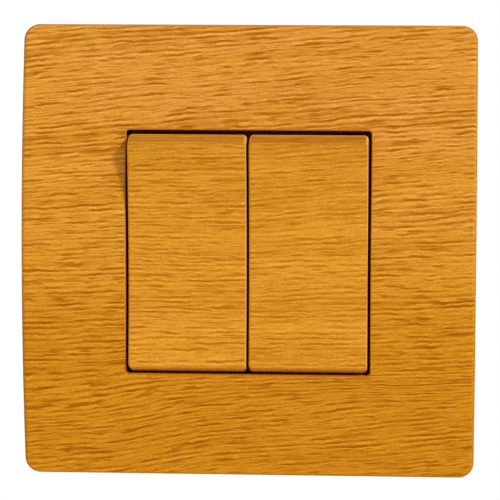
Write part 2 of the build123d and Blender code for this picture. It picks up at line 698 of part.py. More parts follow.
def make_support_frame():
    lip_x = (frame_size - FRAME_THICK) / 2
    lug_z = (lug_inner + lug_outer) / 2
    with BuildPart() as support_frame:
        with BuildSketch(out_of_wall(0)):
            RectangleRounded(frame_size, frame_size, FRAME_CORNER)
        extrude(amount=FRAME_THICK)
        with BuildSketch(out_of_wall(0)):
            with Locations((lip_x, 0), (-lip_x, 0)):
                Rectangle(FRAME_THICK, LIP_LENGTH)
        extrude(amount=LIP_HEIGHT)
        window = chamfered_section(0, cavity_half_width, cavity_half_height, CAVITY_CHAMFER)
        extrude(window, amount=FRAME_THICK, mode=Mode.SUBTRACT)
        with BuildSketch(out_of_wall(0)):
            with GridLocations(0, BOX_SCREW_SPACING, 1, 2):
                SlotOverall(BOX_SLOT_LENGTH, BOX_SLOT_WIDTH, rotation=90)
            with GridLocations(CORNER_HOLE_SPACING, CORNER_HOLE_SPACING, 2, 2):
                Circle(CORNER_HOLE_RADIUS)
            with GridLocations(2 * clip_slot_x, CLIP_SPACING, 2, 2):
                Rectangle(clip_slot_width, clip_slot_height)
            with GridLocations(2 * frame_screw_x, 2 * frame_screw_z, 2, 2):
                Circle(FRAME_SCREW_RADIUS + FRAME_SCREW_CLEARANCE)
            with GridLocations(2 * claw_screw_x, 0, 2, 1):
                Circle(CLAW_SCREW_RADIUS + CLAW_SCREW_CLEARANCE)
        extrude(amount=FRAME_THICK, mode=Mode.SUBTRACT)
        for z in (-lug_z, lug_z):
            with BuildSketch(Plane.XY.offset(z)):
                for x in (-claw_x, claw_x):
                    with Locations((x, CLAW_PIVOT_DEPTH)):
                        Circle(LUG_RADIUS)
                    with Locations((x, CLAW_PIVOT_DEPTH / 2)):
                        Rectangle(2 * LUG_RADIUS, CLAW_PIVOT_DEPTH)
                    with Locations((x, CLAW_PIVOT_DEPTH)):
                        Circle(CLAW_STUB_RADIUS + CLAW_CLEARANCE, mode=Mode.SUBTRACT)
            extrude(amount=LUG_THICK / 2, both=True)
    keep(support_frame.part, "support_frame")


def make_frame_screws():
    with BuildPart() as frame_screws:
        for x in (-frame_screw_x, frame_screw_x):
            for z in (-frame_screw_z, frame_screw_z):
                seat = Plane((x, -flange_front, z), (1, 0, 0), (0, -1, 0))
                slotted_screw(
                    seat, FRAME_SCREW_RADIUS, FRAME_SCREW_LENGTH, FRAME_SCREW_HEAD_RADIUS, FRAME_SCREW_HEAD
                )
    keep(frame_screws.part, "frame_screws")


def make_claw(side, outward):
    pivot = outward * claw_x
    leg_face = pivot + outward * CLAW_THICK / 2
    tooth_x = leg_face + outward * CLAW_TOOTH
    tail = CLAW_PIVOT_DEPTH + CLAW_LENGTH
    with BuildPart() as claw:
        with BuildSketch(Plane.XY):
            with Locations((pivot, CLAW_PIVOT_DEPTH)):
                Circle(CLAW_BARREL_RADIUS)
            with Locations((pivot, CLAW_PIVOT_DEPTH + CLAW_LENGTH / 2)):
                Rectangle(CLAW_THICK, CLAW_LENGTH)
            with Locations((pivot + outward * claw_flange_end / 2, claw_flange_depth)):
                Rectangle(claw_flange_end, CLAW_THICK)
            for tooth_end in (tail, tail - CLAW_TOOTH_PITCH):
                Polygon(
                    (pivot, tooth_end),
                    (pivot, tooth_end - CLAW_TOOTH_PITCH),
                    (leg_face, tooth_end - CLAW_TOOTH_PITCH),
                    (tooth_x, tooth_end),
                    align=None,
                )
        extrude(amount=CLAW_WIDTH / 2, both=True)
        with BuildSketch(Plane.XY):
            with Locations((pivot, CLAW_PIVOT_DEPTH)):
                Circle(CLAW_STUB_RADIUS)
        extrude(amount=lug_outer + CLAW_STUB_LENGTH, both=True)
        with BuildSketch(out_of_wall(-claw_flange_depth)):
            with Locations((outward * claw_screw_x, 0)):
                SlotOverall(claw_slot_length, claw_slot_width)
        extrude(amount=CLAW_THICK, both=True, mode=Mode.SUBTRACT)
    keep(claw.part, f"{side}_claw")


def make_claw_screws():
    with BuildPart() as claw_screws:
        for x in (-claw_screw_x, claw_screw_x):
            seat = Plane((x, -FRAME_THICK, 0), (1, 0, 0), (0, -1, 0))
            slotted_screw(
                seat, CLAW_SCREW_RADIUS, CLAW_SCREW_LENGTH, CLAW_SCREW_HEAD_RADIUS, CLAW_SCREW_HEAD
            )
    keep(claw_screws.part, "claw_screws")


os.makedirs("parts", exist_ok=True)
make_cover_plate()
make_support_frame()
make_bearing_bridge()
make_switch_base()
make_frame_screws()
for gang_name, gang_place in GANGS.items():
    make_rocker(gang_name, gang_place)
    make_carrier(gang_name, gang_place)
    make_spring(gang_name, gang_place)
    make_plunger(gang_name, gang_place)
    make_blade(gang_name, gang_place)
    make_moving_tip(gang_name, gang_place)
    make_fixed_tip(gang_name, gang_place)
    make_terminal(gang_name, gang_place)
make_common_terminal()
make_terminal_screws()
make_claw("left", -1)
make_claw("right", 1)
make_claw_screws()
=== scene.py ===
import math
from typing import NamedTuple

import bmesh
import bpy
from mathutils import Matrix, Vector


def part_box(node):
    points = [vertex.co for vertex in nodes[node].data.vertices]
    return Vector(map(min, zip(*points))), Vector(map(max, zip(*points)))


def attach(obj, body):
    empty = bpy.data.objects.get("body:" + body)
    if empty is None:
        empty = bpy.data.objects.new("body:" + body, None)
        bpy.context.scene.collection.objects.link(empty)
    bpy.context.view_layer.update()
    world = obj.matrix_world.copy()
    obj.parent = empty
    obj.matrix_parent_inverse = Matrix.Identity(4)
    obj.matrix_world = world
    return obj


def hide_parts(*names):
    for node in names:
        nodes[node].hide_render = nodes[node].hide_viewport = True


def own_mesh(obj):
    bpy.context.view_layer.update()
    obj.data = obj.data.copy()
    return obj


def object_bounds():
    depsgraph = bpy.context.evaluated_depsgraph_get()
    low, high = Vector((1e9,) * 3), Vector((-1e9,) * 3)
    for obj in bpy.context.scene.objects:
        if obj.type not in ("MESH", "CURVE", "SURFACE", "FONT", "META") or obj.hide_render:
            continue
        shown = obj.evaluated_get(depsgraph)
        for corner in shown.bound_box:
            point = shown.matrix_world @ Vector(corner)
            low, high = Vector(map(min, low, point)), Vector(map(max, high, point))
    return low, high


# Two-button light switch with an oak-grain film, seen nearly square on

# Lengths are written in millimetres, and this turns them into the frame's metres
MM = 0.001

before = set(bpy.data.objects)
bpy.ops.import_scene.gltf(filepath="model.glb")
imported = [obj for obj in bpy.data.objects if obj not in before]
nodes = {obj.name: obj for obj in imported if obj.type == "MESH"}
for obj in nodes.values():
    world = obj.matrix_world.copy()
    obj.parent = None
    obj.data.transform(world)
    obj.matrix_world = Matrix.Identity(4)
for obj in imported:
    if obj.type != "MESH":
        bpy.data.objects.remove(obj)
cad_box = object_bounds()


def srgb(red, green, blue):
    """A colour in the 0 to 255 scale of a picture, as the linear values that a shader takes."""
    def linear(value):
        value /= 255
        return value / 12.92 if value <= 0.04045 else ((value + 0.055) / 1.055) ** 2.4
    return (linear(red), linear(green), linear(blue), 1.0)


# Camera: where the photograph was taken from, its tilt about the line of sight, and its focal length
IMAGE_PIXELS = 500
FOCAL_PIXELS = 2736.4
SENSOR_WIDTH = 36.0
CAMERA_EYE = Vector((30.32, -499.0, 40.42)) * MM
CAMERA_AIM = Vector((-0.235, 1.0, -0.21)) * MM
CAMERA_ROLL = 0.004
CLIP_START = 10 * MM

# Light: the key lamp's direction, distance, width and power, and the levels of the fill and of the white
KEY_DIRECTION = Vector((0.62, -0.62, 0.48)).normalized()
KEY_DISTANCE = 2400 * MM
KEY_WIDTH = 420 * MM
KEY_POWER = 33.0
FILL_LEVEL = 0.60
WHITE_LEVEL = 1.0
WHITE = (1.0, 1.0, 1.0, 1.0)

# Floor: below the switch, and faded out before it can reach the photograph's view
FLOOR_DROP = 95 * MM
FLOOR_RADIUS = 420 * MM
FLOOR_FADE = 250 * MM
FLOOR_CORNERS = 96
FLOOR_COLOUR = srgb(244, 243, 240)
FLOOR_ROUGHNESS = 0.7

# Pieces that come in pairs
SIDES = ("left", "right")

# Rockers: their tilt at rest, the depth of their pivot, how far in front of it the film ends, and its lap
ROCKER_TILT = math.radians(3.7)
ROCKER_PIVOT = -4.5
CAP_RISE = 3.57
FILM_LAP = 0.05

# Plate: the depth of its edge, half its opening, how deep its film goes there, and where its rim begins
PLATE_EDGE = -5.0
OPENING_HALF = 22.4
FILM_DEPTH = -7.0
RIM_START = 30.0

# Toggle springs, from the rockers' pivot along their axis: two seats, and the coil
SPRING_FOOT = -3.17
SPRING_ROOF = 1.0
SPRING_RADIUS = 1.45
SPRING_WIRE = 0.4
SPRING_TURNS = 6
SPRING_CLOSED_PITCH = 0.42

# Threads of the claw screws, along Y: start, end and pitch, and the ridge's radii and half widths
THREAD_START = 0.35
THREAD_END = 5.6
THREAD_PITCH = 0.7
THREAD_ROOT = 1.44
THREAD_CREST = 1.62
THREAD_FOOT_HALF = 0.42 * THREAD_PITCH
THREAD_CREST_HALF = 0.06 * THREAD_PITCH

# Wound pieces: how many steps a turn has, and how many corners a round wire has
TURN_STEPS = 24
WIRE_CORNERS = 10

# Shader nodes: the sockets of a Mix node that blends colours, and the samples of a Bevel node
MIX_FACTOR = 0
MIX_FIRST = 6
MIX_SECOND = 7
MIX_RESULT = 2
BEVEL_SAMPLES = 4


class Graph:
    """A material's node tree, with short ways to add nodes and join them."""

    def __init__(self, name):
        self.material = bpy.data.materials.new(name)
        self.material.use_nodes = True
        self.tree = self.material.node_tree
        self.tree.nodes.clear()

    def join(self, socket, value):
        """Links an output to a socket, or sets the socket's own value."""
        if isinstance(value, bpy.types.NodeSocket):
            self.tree.links.new(value, socket)
        else:
            socket.default_value = value

    def add(self, kind, inputs=None, **settings):
        """Adds a shader node with these settings and inputs."""
        node = self.tree.nodes.new("ShaderNode" + kind)
        for name, value in settings.items():
            setattr(node, name, value)
        for name, value in (inputs or {}).items():
            self.join(node.inputs[name], value)
        return node

    def math(self, operation, *values):
        """The result of a sum on values or outputs."""
        node = self.add("Math", operation=operation)
        for socket, value in zip(node.inputs, values):
            self.join(socket, value)
        return node.outputs[0]

    def times(self, first, second):
        """The product of two values or outputs."""
        return self.math("MULTIPLY", first, second)

    def larger(self, first, second):
        """The larger of two values or outputs."""
        return self.math("MAXIMUM", first, second)

    def total(self, *terms):
        """The sum of several outputs, each with its weight."""
        result = 0.0
        for value, weight in terms:
            result = self.math("MULTIPLY_ADD", value, weight, result)
        return result

    def step(self, value, low, high, to_low=0.0, to_high=1.0):
        """A smooth step from to_low to to_high as the value goes from low to high."""
        span = {"Value": value, "From Min": low, "From Max": high, "To Min": to_low, "To Max": to_high}
        return self.add("MapRange", span, interpolation_type="SMOOTHSTEP").outputs[0]

    def vector(self, x, y, z):
        """A vector of three values or outputs."""
        return self.add("CombineXYZ", {"X": x, "Y": y, "Z": z}).outputs[0]

    def split(self, vector):
        """The three parts of a vector."""
        node = self.add("SeparateXYZ", {"Vector": vector})
        return node.outputs[0], node.outputs[1], node.outputs[2]

    def vector_math(self, operation, first, second, output="Vector"):
        """The result of a sum on vectors."""
        return self.add("VectorMath", {0: first, 1: second}, operation=operation).outputs[output]

    def noise(self, vector, scale=1.0, octaves=1.0, roughness=0.5):
        """Smooth noise between 0 and 1."""
        inputs = {"Vector": vector, "Scale": scale, "Detail": octaves, "Roughness": roughness}
        return self.add("TexNoise", inputs).outputs[0]

    def mix(self, factor, first, second, blend="MIX"):
        """A blend of two colours."""
        node = self.add("Mix", data_type="RGBA", blend_type=blend)
        for index, value in ((MIX_FACTOR, factor), (MIX_FIRST, first), (MIX_SECOND, second)):
            self.join(node.inputs[index], value)
        return node.outputs[MIX_RESULT]

    def place(self):
        """The place on the piece in millimetres, and its normal, both in the part's own frame."""
        source = self.add("TexCoord")
        place = self.vector_math("MULTIPLY", source.outputs["Object"], (1 / MM,) * 3)
        return place, source.outputs["Normal"]

    def soft_edge(self, radius):
        """A normal that is rounded over at the edges."""
        return self.add("Bevel", {"Radius": radius}, samples=BEVEL_SAMPLES).outputs[0]

    def bump(self, height, normal=None):
        """A normal from a height in millimetres."""
        inputs = {"Height": height, "Strength": 1.0, "Distance": MM}
        if normal is not None:
            inputs["Normal"] = normal
        return self.add("Bump", inputs).outputs[0]

    def surface(self, inputs):
        """Ends the tree with a Principled shader."""
        shader = self.add("BsdfPrincipled", inputs)
        output = self.add("OutputMaterial")
        self.tree.links.new(shader.outputs[0], output.inputs["Surface"])
        return self.material


class Bend(NamedTuple):
    """A bend of the grain: noise squeezed along and across it, and how far it lifts the lines."""
    along: float
    across: float
    scale: float
    octaves: float
    seed: float
    lift: float


class Grain(NamedTuple):
    """Noise drawn out along the grain: the size of its features, and the step that sharpens them."""
    length: float
    width: float
    octaves: float
    seed: float
    span: tuple


class PoreRow(NamedTuple):
    """Rows of pores: pitch, length and thickness, how rare they are, and the weights of the line and of
    the painted highlight on its rim.
    """
    pitch: float
    length: float
    thickness: float
    rarity: float
    seed: float
    line: float
    rim: float


# Below, a span holds the two ends of a smooth step, and its values there if they aren't 0 and 1

# Oak film: colours of the print, from the painted highlight on the rims of the pores and the pale fibres
# down to the pores
OAK_RIM_HIGHLIGHT = srgb(244, 176, 90)
OAK_PALE = srgb(235, 162, 61)
# The pink of a blush, and of the plate's painted sheen towards the upper right
OAK_BLUSH_AND_SHEEN = srgb(226, 147, 64)
OAK_MIDDLE = srgb(218, 143, 28)
OAK_DEEP = srgb(196, 121, 2)
OAK_PORE = srgb(170, 95, 0)

# Oak film: painted shade on a rocker's ends and flanks, and painted highlight along its edges
OAK_END_AND_FLANK_SHADE = srgb(172, 106, 0)
OAK_EDGE_HIGHLIGHT = srgb(246, 184, 104)

# Oak film: what multiplies its colour in clouds and in painted shade lower down, as a warm tone that
# leaves a painted sheen at the plate's top, in pores, and as painted shade round the plate's edges
OAK_CLOUDS_AND_SHADE = (0.88, 0.80, 0.45, 1.0)
OAK_WARMTH_AND_SHEEN = (1.0, 1.0, 0.6, 1.0)
OAK_STAIN = (1.0, 1.0, 0.3, 1.0)
OAK_EDGE_SHADE = (0.55, 0.48, 0.42, 1.0)

# Moulding behind the film: inside, and where it shows in the gaps
BARE_PLASTIC = srgb(104, 36, 14)
BARE_SIDE = srgb(168, 54, 19)

# Bends of the grain, from the slowest to the finest
BENDS = (
    Bend(along=0.3, across=1.0, scale=0.12, octaves=1.0, seed=0.0, lift=1.6),
    Bend(along=0.5, across=0.45, scale=0.5, octaves=1.0, seed=7.0, lift=0.45),
    Bend(along=0.7, across=0.45, scale=1.3, octaves=2.0, seed=11.0, lift=0.3),
)

# Grain of the wood, of its ruddy and dark places, and of the strength of the pores
BANDS = Grain(length=24.0, width=2.8, octaves=2.0, seed=1.0, span=(0.36, 0.6))
FIBRE = Grain(length=3.2, width=0.42, octaves=2.0, seed=2.0, span=(0.36, 0.64))
GRIT = Grain(length=0.5, width=0.24, octaves=1.0, seed=6.0, span=(0.34, 0.66))
BLUSH = Grain(length=30.0, width=9.0, octaves=1.0, seed=3.0, span=(0.4, 0.7, 0.0, 0.3))
CLOUDS = Grain(length=40.0, width=5.0, octaves=1.0, seed=5.0, span=(0.58, 0.36, 0.0, 0.45))
PORE_STRENGTH = Grain(length=5.0, width=1.6, octaves=1.0, seed=4.0, span=(0.3, 0.65, 0.35, 1.0))
GRAIN_ROUGHNESS = 0.6
SPECK_SCALE = 3.0
SPECK_SPAN = (0.4, 0.6, 0.955, 1.065)

# Weights of the pale fibres and grit, and of the painted highlight on the rims and of the lines of the
# pores
FIBRE_WEIGHT = 0.5
GRIT_WEIGHT = 0.5
RIM_HIGHLIGHT_WEIGHT = 0.8
LINE_WEIGHT = 0.96

# Pores: long, short and faint ones
PORE_ROWS = (
    PoreRow(pitch=1.0, length=7.2, thickness=0.35, rarity=0.362, seed=0.0, line=1.0, rim=1.0),
    PoreRow(pitch=0.75, length=3.6, thickness=0.29, rarity=0.398, seed=3.3, line=0.85, rim=1.0),
    PoreRow(pitch=0.5, length=2.4, thickness=0.2, rarity=0.38, seed=5.7, line=0.5, rim=0.5),
)

# Pores: how rows differ, how a line wanders in its row, where lines crowd, and the tapers of line and of
# the painted highlight on its rim
LANE_STRIDE = 7.31
WANDER_RUN = 0.9
WANDER_SHARE = 0.7
WANDER_SEED = 40.0
PRESENT_OCTAVES = 2.0
PRESENT_SEED = 80.0
CROWD_RUN = 0.03
CROWD_SCALE = 0.16
CROWD_WEIGHT = 0.4
CROWD_SEED = 120.0
PORE_SOFTNESS = 0.2
LINE_TAPER = (1.0, 0.3)
RIM_TAPER = (2.2, 1.2)

# Film: its relief, how the print changes its roughness, its gloss, and where it ends at the back
LINE_RELIEF = -0.03
FIBRE_RELIEF = 0.015
GRIT_RELIEF = 0.006
BAND_RELIEF = 0.02
LINE_ROUGHNESS = 0.12
FIBRE_ROUGHNESS = 0.06
BAND_ROUGHNESS = -0.04
FILM_ROUGHNESS = 0.5
FILM_SPECULAR = 0.03
BACK_FACING = 0.05

# Plate's grain: how steeply it climbs at each height, and how it sweeps up at the left of the lower part
PLATE_SLOPE = (-5.0, 20.0, 0.048, 0.085)
SWEEP_BELOW = (-20.0, -28.0)
SWEEP_RISE = (-28.0, -5.0, 0.0, 2.2)
SWEEP_SLOPE = 0.04

# Plate's print: seed and contrast, where it has pores, its painted sheen towards the upper right, its
# painted shade lower down, its warmer tone below the painted sheen at the top, and its painted shade round
# the edges
PLATE_SEED = 0.0
PLATE_CONTRAST = 1.0
PLATE_FRONT = (-0.6, -0.93)
PLATE_SHEEN_CORNER = (0.0, 45.0, 0.0, 0.4)
SHEEN_LEAN = 0.35
PLATE_PAINTED_SHADE = (8.0, -22.0, 0.0, 0.95)
PLATE_SHEEN_FADE = (30.0, -25.0)
EDGE_BEGINS = (-0.92, -0.6)
EDGE_ENDS = (-0.1, -0.4, 0.0, 0.6)

# Rockers' grain and print: slopes, seeds and contrasts, where they have pores, and how warm they are
LEFT_SLOPE = 0.012
LEFT_SEED = 31.0
LEFT_CONTRAST = 0.8
RIGHT_SLOPE = (-15.0, 15.0, 0.025, 0.09)
RIGHT_SEED = 53.0
RIGHT_CONTRAST = 0.7
ROCKER_FRONT = (-0.12, -0.5)
ROCKER_WARM = 0.65

# Rockers' ends and flanks: which way they face, and how dark their painted shade is
END_FACING = (0.75, 0.88)
END_DARKNESS = (-15.0, 15.0, 0.2, 0.95)
FLANK_FACING = (0.94, 0.99)
FLANK_DARKNESS = 0.8

# Rockers' painted highlights along the edges: the brow, which fades to the right, the two sides, and the
# film's cut edge, which is partly pale in itself and partly painted highlight
BROW_BEGINS = (0.15, 0.4)
BROW_ENDS = (0.85, 0.7, 0.0, 0.6)
BROW_FADE = (-22.0, 8.0, 1.0, 0.15)
RIGHT_EDGE = (0.5, 0.75)
LEFT_EDGE = (-0.5, -0.75, 0.0, 0.3)
CUT_EDGE = (CAP_RISE + 0.9, CAP_RISE + 0.3)
CUT_FADE = (-15.0, 15.0, 1.0, 0.3)
EDGE_HIGHLIGHT_WEIGHT = 0.7


class Film(Graph):
    """An oak film's node tree: the place along and across the grain, and what is printed there."""

    def __init__(self, name, flow, centre, seed, front):
        super().__init__(name)
        self.centre = centre
        self.seed = seed
        self.spot, self.normal = self.place()
        self.x, self.y, self.z = self.split(self.spot)
        self.normal_x, self.normal_y, self.normal_z = self.split(self.normal)
        depth = self.math("SUBTRACT", self.y, centre[1])
        unrolled = self.math("MULTIPLY_ADD", depth, self.normal_z, self.z)
        self.along = self.math("MULTIPLY_ADD", depth, self.normal_x, self.x)
        lifts = [(self.bend_noise(unrolled, bend), bend.lift) for bend in BENDS]
        self.across = self.total((unrolled, 1.0), (flow(self), -1.0), *lifts)
        self.bands = self.grain(BANDS)
        self.fibre = self.grain(FIBRE)
        self.grit = self.grain(GRIT)
        self.line, self.rim = self.pores(self.step(self.normal_y, *front))

    def bend_noise(self, unrolled, bend):
        """The noise of a bend of the grain."""
        along = self.times(self.along, bend.along)
        across = self.times(unrolled, bend.across)
        return self.noise(self.vector(along, across, self.seed + bend.seed), bend.scale, bend.octaves)

    def grain(self, pattern):
        """Noise drawn out along the grain and sharpened."""
        along = self.times(self.along, 1 / pattern.length)
        across = self.times(self.across, 1 / pattern.width)
        spot = self.vector(along, across, self.seed + pattern.seed)
        return self.step(self.noise(spot, 1.0, pattern.octaves, GRAIN_ROUGHNESS), *pattern.span)

    def pore_row(self, row):
        """Broken, tapered lines in rows along the grain: masks of the lines and of the painted highlight
        on their rims.
        """
        seed = self.seed + row.seed
        rise = self.math("MULTIPLY_ADD", self.across, 1 / row.pitch, seed)
        number = self.math("FLOOR", rise)
        lane = self.times(number, LANE_STRIDE)
        run = self.times(self.along, 1 / row.length)
        wander = self.noise(self.vector(self.times(run, WANDER_RUN), lane, seed + WANDER_SEED))
        present = self.noise(self.vector(run, lane, seed + PRESENT_SEED), 1.0, PRESENT_OCTAVES)
        crowded = self.vector(self.times(self.along, CROWD_RUN), self.across, seed + CROWD_SEED)
        crowd = self.noise(crowded, CROWD_SCALE)
        wanted = self.total((present, 1.0), (crowd, CROWD_WEIGHT), (1.0, -CROWD_WEIGHT / 2))
        strength = self.step(wanted, row.rarity, row.rarity + PORE_SOFTNESS)
        middle = (1 - WANDER_SHARE) / 2
        offset = self.total((rise, 1.0), (number, -1.0), (wander, -WANDER_SHARE), (1.0, -middle))
        half = row.thickness / row.pitch / 2
        reach = self.math("MULTIPLY_ADD", strength, half, half)
        ratio = self.math("DIVIDE", self.math("ABSOLUTE", offset), reach)
        line = self.times(self.step(ratio, *LINE_TAPER), strength)
        rim = self.times(self.step(ratio, *RIM_TAPER), strength)
        return line, self.larger(self.math("SUBTRACT", rim, line), 0.0)

    def pores(self, front):
        """All pores: masks of the lines, only where the film faces the front, and of the painted highlight
        on their rims.
        """
        line = 0.0
        rim = 0.0
        for row in PORE_ROWS:
            row_line, row_rim = self.pore_row(row)
            line = self.larger(line, self.times(row_line, row.line))
            rim = self.larger(rim, self.times(row_rim, row.rim))
        strength = self.grain(PORE_STRENGTH)
        return self.times(line, self.times(strength, front)), self.times(rim, strength)

    def ground(self, ruddy):
        """The wood between the pores: bands, pale fibres and a ruddy blush, which on the plate also
        carries a painted sheen towards the upper right.
        """
        wood = self.mix(self.bands, OAK_DEEP, OAK_MIDDLE)
        pale = self.total((self.fibre, FIBRE_WEIGHT), (self.grit, GRIT_WEIGHT))
        wood = self.mix(pale, wood, OAK_PALE)
        return self.mix(self.math("ADD", self.grain(BLUSH), ruddy), wood, OAK_BLUSH_AND_SHEEN)

    def printed(self, wood, contrast):
        """The wood with its pores, the painted highlight on their rims, their stain, and the specks of the
        print.
        """
        # Painted highlight on the rims round the pores
        wood = self.mix(self.times(self.rim, RIM_HIGHLIGHT_WEIGHT * contrast), wood, OAK_RIM_HIGHLIGHT)
        wood = self.mix(self.times(self.line, LINE_WEIGHT * contrast), wood, OAK_PORE)
        wood = self.mix(self.line, wood, OAK_STAIN, "MULTIPLY")
        speck = self.step(self.noise(self.spot, SPECK_SCALE), *SPECK_SPAN)
        return self.mix(1.0, wood, speck, "MULTIPLY")

    def toned(self, wood, shade, warm):
        """The wood with darker clouds and painted shade, and with a warmer tone, which on the plate leaves
        a painted sheen at the top.
        """
        # Darker clouds, and painted shade where it is given
        wood = self.mix(self.larger(self.grain(CLOUDS), shade), wood, OAK_CLOUDS_AND_SHADE, "MULTIPLY")
        # Warmer tone; on the plate it grows lower down and leaves a painted sheen at the top
        return self.mix(warm, wood, OAK_WARMTH_AND_SHEEN, "MULTIPLY")

    def outward(self):
        """Whether the surface faces away from the middle of the moulding."""
        offset = self.vector_math("SUBTRACT", self.spot, self.centre)
        facing = self.vector_math("DOT_PRODUCT", offset, self.normal, "Value")
        return self.math("GREATER_THAN", facing, 0.0)

    def laid_on(self, reached, wood, bare):
        """The embossed film where it reaches and doesn't face the back, and bare moulding elsewhere."""
        covered = self.times(reached, self.math("LESS_THAN", self.normal_y, BACK_FACING))
        relief = self.total(
            (self.line, LINE_RELIEF),
            (self.fibre, FIBRE_RELIEF),
            (self.grit, GRIT_RELIEF),
            (self.bands, BAND_RELIEF),
        )
        roughness = self.total(
            (self.fibre, FIBRE_ROUGHNESS),
            (self.line, LINE_ROUGHNESS),
            (self.bands, BAND_ROUGHNESS),
            (1.0, FILM_ROUGHNESS),
        )
        return self.surface({
            "Base Color": self.mix(covered, bare, wood),
            "Roughness": roughness,
            "Specular IOR Level": FILM_SPECULAR,
            "Normal": self.bump(self.times(relief, covered)),
        })


def plate_flow(film):
    """How far the plate's grain has risen: it climbs to the right, and sweeps up in the lower part."""
    slope = film.step(film.z, *PLATE_SLOPE)
    sweep = film.math("MULTIPLY_ADD", film.x, SWEEP_SLOPE, film.step(film.x, *SWEEP_RISE))
    lower = film.step(film.z, *SWEEP_BELOW)
    return film.math("MULTIPLY_ADD", film.x, slope, film.times(sweep, lower))


def left_flow(film):
    """The left rocker's grain is nearly level."""
    return film.times(film.x, LEFT_SLOPE)


def right_flow(film):
    """The right rocker's grain climbs to the right, and most near the top."""
    return film.times(film.x, film.step(film.z, *RIGHT_SLOPE))


def plate_film():
    """The plate's film, which covers its face and rim and turns into the opening."""
    film = Film("oak_film_plate", plate_flow, (0.0, PLATE_EDGE, 0.0), PLATE_SEED, PLATE_FRONT)
    # Painted sheen: pinker towards the upper right
    towards_corner = film.total((film.z, 1.0), (film.x, SHEEN_LEAN))
    wood = film.ground(film.step(towards_corner, *PLATE_SHEEN_CORNER))
    wood = film.printed(wood, PLATE_CONTRAST)
    # Painted shade lower down, and a warmer tone lower down that leaves a painted sheen at the top
    wood = film.toned(wood, film.step(film.z, *PLATE_PAINTED_SHADE), film.step(film.z, *PLATE_SHEEN_FADE))
    # Painted shade round the plate's rounded outer edges
    rounded = film.times(film.step(film.normal_y, *EDGE_BEGINS), film.step(film.normal_y, *EDGE_ENDS))
    wood = film.mix(rounded, wood, OAK_EDGE_SHADE, "MULTIPLY")
    sideways = film.larger(film.math("ABSOLUTE", film.x), film.math("ABSOLUTE", film.z))
    in_opening = film.math("LESS_THAN", sideways, OPENING_HALF)
    on_rim = film.math("GREATER_THAN", sideways, RIM_START)
    in_reach = film.larger(on_rim, film.math("LESS_THAN", film.y, FILM_DEPTH))
    outside = film.larger(film.outward(), in_opening)
    bare = film.mix(in_opening, BARE_PLASTIC, BARE_SIDE)
    return film.laid_on(film.times(outside, in_reach), wood, bare)


def rise_from_pivot(film):
    """How far in front of its pivot a place on a rocker lies, square to the rocker as it rests."""
    cosine = math.cos(ROCKER_TILT)
    sine = math.sin(ROCKER_TILT)
    return film.total((film.y, -cosine), (film.z, -sine), (1.0, ROCKER_PIVOT * cosine))


def painted_edge_highlights(film, rise, flank):
    """Where a rocker's edges get a painted highlight: at the brow, at the sides, and along the cut edge of
    its film, which is partly pale in itself.
    """
    brow = film.times(film.step(film.normal_z, *BROW_BEGINS), film.step(film.normal_z, *BROW_ENDS))
    brow = film.times(brow, film.step(film.x, *BROW_FADE))
    sides = film.math("ADD", film.step(film.normal_x, *RIGHT_EDGE), film.step(film.normal_x, *LEFT_EDGE))
    edge = film.times(film.larger(brow, sides), film.math("SUBTRACT", 1.0, flank))
    cut = film.times(film.step(rise, *CUT_EDGE), film.step(film.z, *CUT_FADE))
    return film.larger(edge, cut)


def rocker_film(side, flow, seed, contrast):
    """A rocker's film, which covers its cap, with painted shade on its ends and flanks and painted
    highlights on its edges.
    """
    centre = (middle_x(f"{side}_rocker") / MM, ROCKER_PIVOT, 0.0)
    film = Film(f"oak_film_{side}", flow, centre, seed, ROCKER_FRONT)
    end = film.step(film.math("ABSOLUTE", film.normal_z), *END_FACING)
    # Painted shade on the end walls, stronger at the top end
    wood = film.mix(film.times(end, film.step(film.z, *END_DARKNESS)), film.ground(0.0), OAK_END_AND_FLANK_SHADE)
    wood = film.toned(film.printed(wood, contrast), 0.0, ROCKER_WARM)
    # Painted shade on the flanks, the side walls in the gaps
    flank = film.step(film.math("ABSOLUTE", film.normal_x), *FLANK_FACING)
    wood = film.mix(film.times(flank, FLANK_DARKNESS), wood, OAK_END_AND_FLANK_SHADE)
    rise = rise_from_pivot(film)
    # Painted highlights along the rocker's edges, stronger on the right side, towards the lamp
    wood = film.mix(film.times(painted_edge_highlights(film, rise, flank), EDGE_HIGHLIGHT_WEIGHT), wood, OAK_EDGE_HIGHLIGHT)
    outside = film.outward()
    on_cap = film.math("GREATER_THAN", rise, CAP_RISE - FILM_LAP)
    bare = film.mix(outside, BARE_PLASTIC, BARE_SIDE)
    return film.laid_on(film.times(outside, on_cap), wood, bare)


# Plastics: two tints, roughness, height of the eroded texture, and gloss
PLASTICS = {
    "white_moulding": (srgb(234, 232, 224), srgb(230, 227, 217), 0.42, 0.012, 0.5),
    "dark_moulding": (srgb(184, 56, 21), srgb(174, 52, 19), 0.6, 0.012, 0.1),
    "grey_nylon": (srgb(112, 116, 120), srgb(98, 101, 106), 0.38, 0.01, 0.5),
    "natural_nylon": (srgb(232, 228, 208), srgb(221, 214, 190), 0.35, 0.008, 0.5),
}

# Plastics: noise of the tint, of the texture and of the slow ripple, and what they change
TINT_NOISE = (0.14, 3.0)
TINT_SPAN = (0.35, 0.65)
TEXTURE_NOISE = (7.0, 3.0, 0.6)
TEXTURE_ROUGHNESS = 0.18
RIPPLE_SCALE = 0.35
RIPPLE_HEIGHT = 0.03
PLASTIC_EDGE = 0.2 * MM

# Metals: how the place is squeezed so that rolled metal has lines along X, and drawn metal along Y
ROLLED = (0.15, 1.0, 1.0)
DRAWN = (1.0, 0.15, 1.0)

